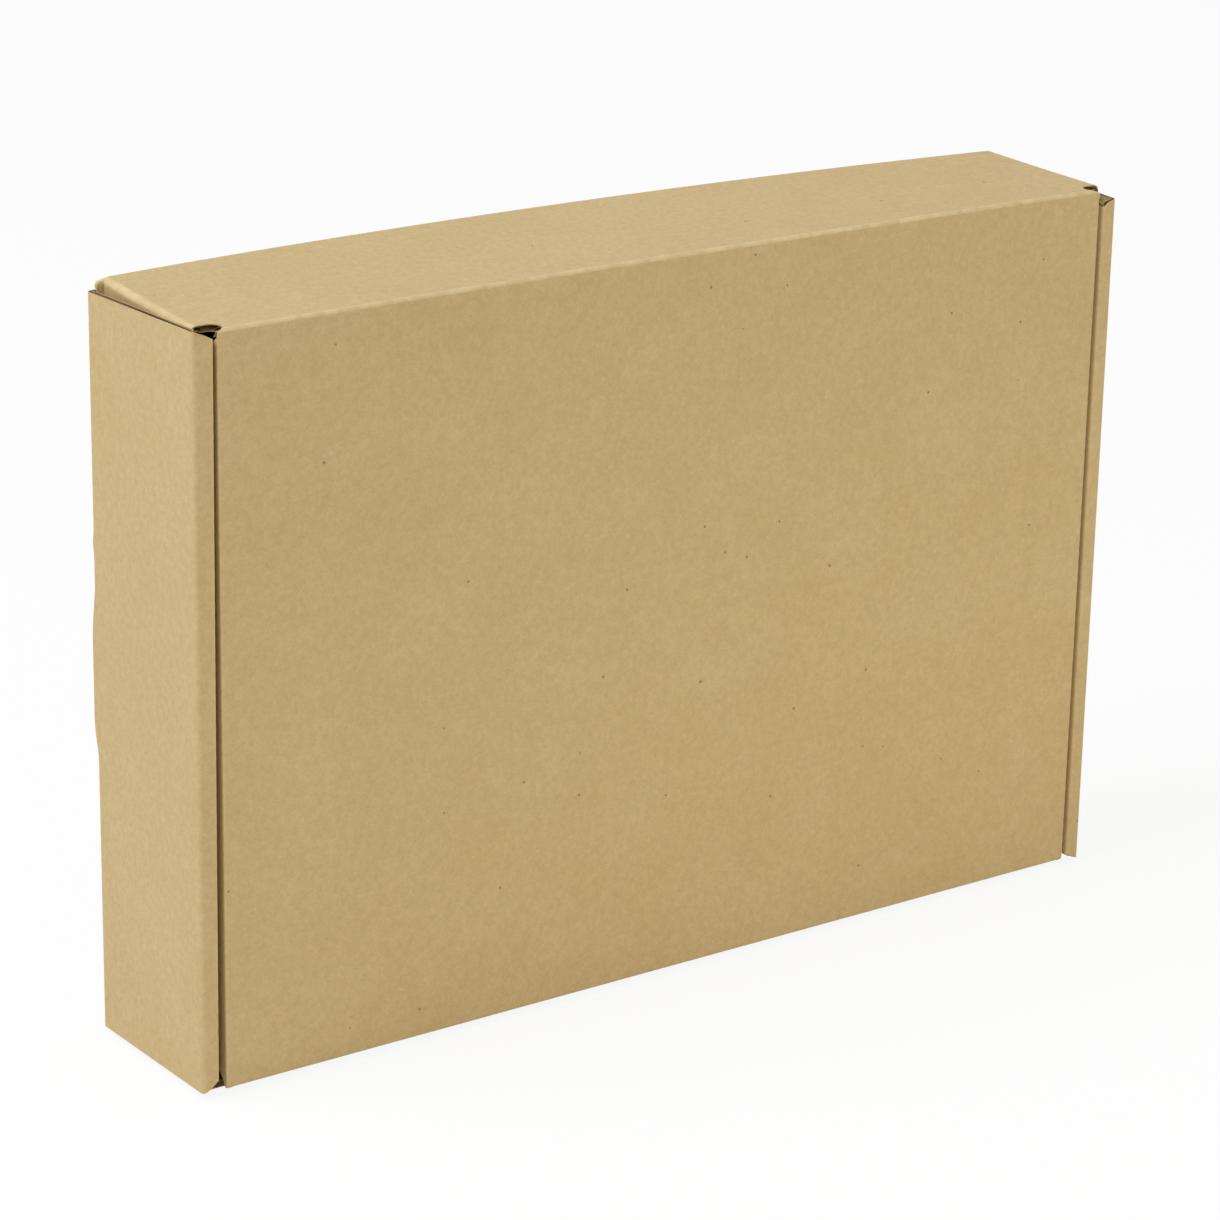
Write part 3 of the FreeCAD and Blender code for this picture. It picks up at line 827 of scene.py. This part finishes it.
def make_kraft(name, tone, dark, pale, roughness):
    """Brown kraft paper: clouds, fibres, specks, folds lightened partly as rubbed paper and partly as a
    painted highlight, and a fibrous relief.
    """
    tone, dark, pale = shade(*tone), shade(*dark), shade(*pale)
    material = bpy.data.materials.new(name)
    material.use_nodes = True
    tree = material.node_tree
    bsdf = tree.nodes["Principled BSDF"]
    coordinates = add_node(tree, "ShaderNodeTexCoord")
    place, facing = coordinates.outputs["Object"], coordinates.outputs["Normal"]
    clouds = span(tree, noise(tree, place, 45, 2.0), 0.3, 0.7)
    mottle = span(tree, noise(tree, place, 650, 3.0, rough=0.65), 0.3, 0.7)
    grain = span(tree, noise(tree, place, 2400, 2.0, rough=0.7), 0.25, 0.75)
    pale_fibres = fibres(tree, place, facing, 620, 0.00005, 0.8)
    dark_fibres = fibres(tree, place, facing, 540, 0.000045, 0.4)
    layers = (
        (clouds, 0.2, pale),
        (mottle, 0.37, dark),
        (grain, 0.32, dark),
        (pale_fibres, 0.3, pale),
        (dark_fibres, 0.35, dark),
        (specks(tree, place, 330, 0.05, 0.17), 0.6, shade(*DARK_DOT)),
        (specks(tree, place, 160, 0.02, 0.07), 0.6, shade(*PALE_FLECK)),
    )
    colour = tone
    for pattern, share, ink in layers:
        colour = mixed(tree, arithmetic(tree, "MULTIPLY", pattern, share), colour, ink)
    # Pale patches on the folds: partly rubbed paper, partly a painted highlight.
    fold = add_node(tree, "ShaderNodeAttribute", attribute_name="fold").outputs["Fac"]
    patchy = span(tree, noise(tree, place, 300, 3.0), 0.35, 0.65, 0.3, 0.65)
    colour = mixed(tree, arithmetic(tree, "MULTIPLY", fold, patchy), colour, shade(*FOLD_WEAR_AND_HIGHLIGHT))
    tree.links.new(colour, bsdf.inputs["Base Color"])
    bsdf.inputs["Roughness"].default_value = roughness
    bsdf.inputs["Specular IOR Level"].default_value = 0.35
    height = arithmetic(tree, "ADD", arithmetic(tree, "MULTIPLY", grain, 0.5), mottle)
    height = arithmetic(tree, "ADD", height, arithmetic(tree, "MULTIPLY", pale_fibres, 0.4))
    bump = add_node(tree, "ShaderNodeBump", {"Height": height, "Strength": 0.5, "Distance": 0.00006})
    tree.links.new(bump.outputs["Normal"], bsdf.inputs["Normal"])
    return material


def make_light(name, location, target, width, height, power, tint):
    """A soft box aimed at a point."""
    data = bpy.data.lights.new(name, "AREA")
    data.shape = "RECTANGLE"
    data.size, data.size_y, data.energy = width, height, power
    data.color = tint
    lamp = bpy.data.objects.new(name, data)
    lamp.location = location
    aim = Vector(target) - Vector(location)
    lamp.rotation_mode = "QUATERNION"
    lamp.rotation_quaternion = aim.to_track_quat("-Z", "Y")
    lamp.visible_camera = False
    bpy.context.scene.collection.objects.link(lamp)


def seen_white(tree):
    """1 for the rays that see the studio as plain white: the camera's, and mirrored and refracted ones."""
    path = add_node(tree, "ShaderNodeLightPath")
    shown = arithmetic(tree, "MAXIMUM", path.outputs["Is Camera Ray"], path.outputs["Is Glossy Ray"])
    return arithmetic(tree, "MAXIMUM", shown, path.outputs["Is Transmission Ray"])


def make_world(strength):
    """Even light from all sides that the camera sees as white."""
    world = bpy.data.worlds.new("studio")
    world.use_nodes = True
    bpy.context.scene.world = world
    tree = world.node_tree
    tree.nodes.clear()
    lit = add_node(tree, "ShaderNodeBackground", {"Color": (1.0, 0.95, 0.86, 1), "Strength": strength})
    white = add_node(tree, "ShaderNodeBackground", {"Color": (1, 1, 1, 1), "Strength": 1.0})
    shown = seen_white(tree)
    both = add_node(tree, "ShaderNodeMixShader", {0: shown, 1: lit.outputs[0], 2: white.outputs[0]})
    add_node(tree, "ShaderNodeOutputWorld", {"Surface": both.outputs[0]})


def make_floor(keep_shadow):
    """A white floor that shows only a share of the box's shadow to the camera."""
    mesh = bpy.data.meshes.new("floor")
    reach = 6.0
    corners = [(-reach, -reach, 0), (reach, -reach, 0), (reach, reach, 0), (-reach, reach, 0)]
    mesh.from_pydata(corners, [], [(0, 1, 2, 3)])
    floor = bpy.data.objects.new("floor", mesh)
    bpy.context.scene.collection.objects.link(floor)
    material = bpy.data.materials.new("floor_white")
    material.use_nodes = True
    tree = material.node_tree
    tree.nodes.clear()
    plain = add_node(tree, "ShaderNodeBsdfDiffuse", {"Color": (0.92, 0.92, 0.92, 1)})
    white = add_node(tree, "ShaderNodeEmission", {"Color": (1, 1, 1, 1), "Strength": 1.0})
    shown = arithmetic(tree, "MULTIPLY", seen_white(tree), 1 - keep_shadow)
    both = add_node(tree, "ShaderNodeMixShader", {0: shown, 1: plain.outputs[0], 2: white.outputs[0]})
    add_node(tree, "ShaderNodeOutputMaterial", {"Surface": both.outputs[0]})
    mesh.materials.append(material)


def make_camera():
    """A long lens from the left of the lid and above it."""
    data = bpy.data.cameras.new("camera")
    data.sensor_width = SENSOR
    data.lens = CAMERA_FOCAL_PIXELS / PHOTO_SIZE * SENSOR
    data.clip_start, data.clip_end = 0.05, 50
    camera = bpy.data.objects.new("camera", data)
    bpy.context.scene.collection.objects.link(camera)
    azimuth, elevation, roll = (math.radians(a) for a in (CAMERA_AZIMUTH, CAMERA_ELEVATION, CAMERA_ROLL))
    level = math.cos(elevation)
    ahead = Vector((math.sin(azimuth) * level, math.cos(azimuth) * level, -math.sin(elevation)))
    turn = ahead.to_track_quat("-Z", "Y").to_matrix() @ Matrix.Rotation(roll, 3, "Z")
    camera.matrix_world = Matrix.Translation(Vector(CAMERA_PLACE) * MM) @ turn.to_4x4()
    bpy.context.scene.camera = camera


outer_finish = make_kraft("kraft_outer", (207, 182, 130), (168, 139, 88), (228, 206, 160), 0.62)
inner_finish = make_kraft("kraft_inner", (196, 170, 122), (158, 130, 84), (220, 196, 150), 0.68)
# The medium is darker than the liners: partly its own greyer brown, partly painted shade for the hollows
# between its flutes at the cut edges.
core_finish = make_kraft("kraft_medium", (126, 98, 60), (96, 70, 38), (150, 122, 80), 0.75)

tray_pieces = [make_wrap()]
for end in (-1, 1):
    tray_pieces.append(make_end_wall(end))
    for is_back in (True, False):
        tray_pieces.append(make_corner_flap(end, is_back))
for piece in tray_pieces:
    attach(piece, "tray")
    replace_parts(piece, "tray")

lid_pieces = [make_lid_panel(), make_dust_flap(-1), make_dust_flap(1)]
for piece in lid_pieces:
    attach(piece, "lid")
    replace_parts(piece, "lid")
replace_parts(make_hinge_band(), "lid", "tray")

make_world(0.485)
make_floor(0.1)
make_light("key", (-1.2, 0.2, 1.8), (0, 0, 0.08), 1.2, 1.2, 32.5, (0.86, 0.91, 1.0))
make_light("low_fill", (0.1, -0.35, 0.03), (0.03, 0, 0.05), 0.6, 0.06, 0.34, (1.0, 0.96, 0.8))
make_camera()
bpy.context.scene.view_settings.view_transform = "Standard"
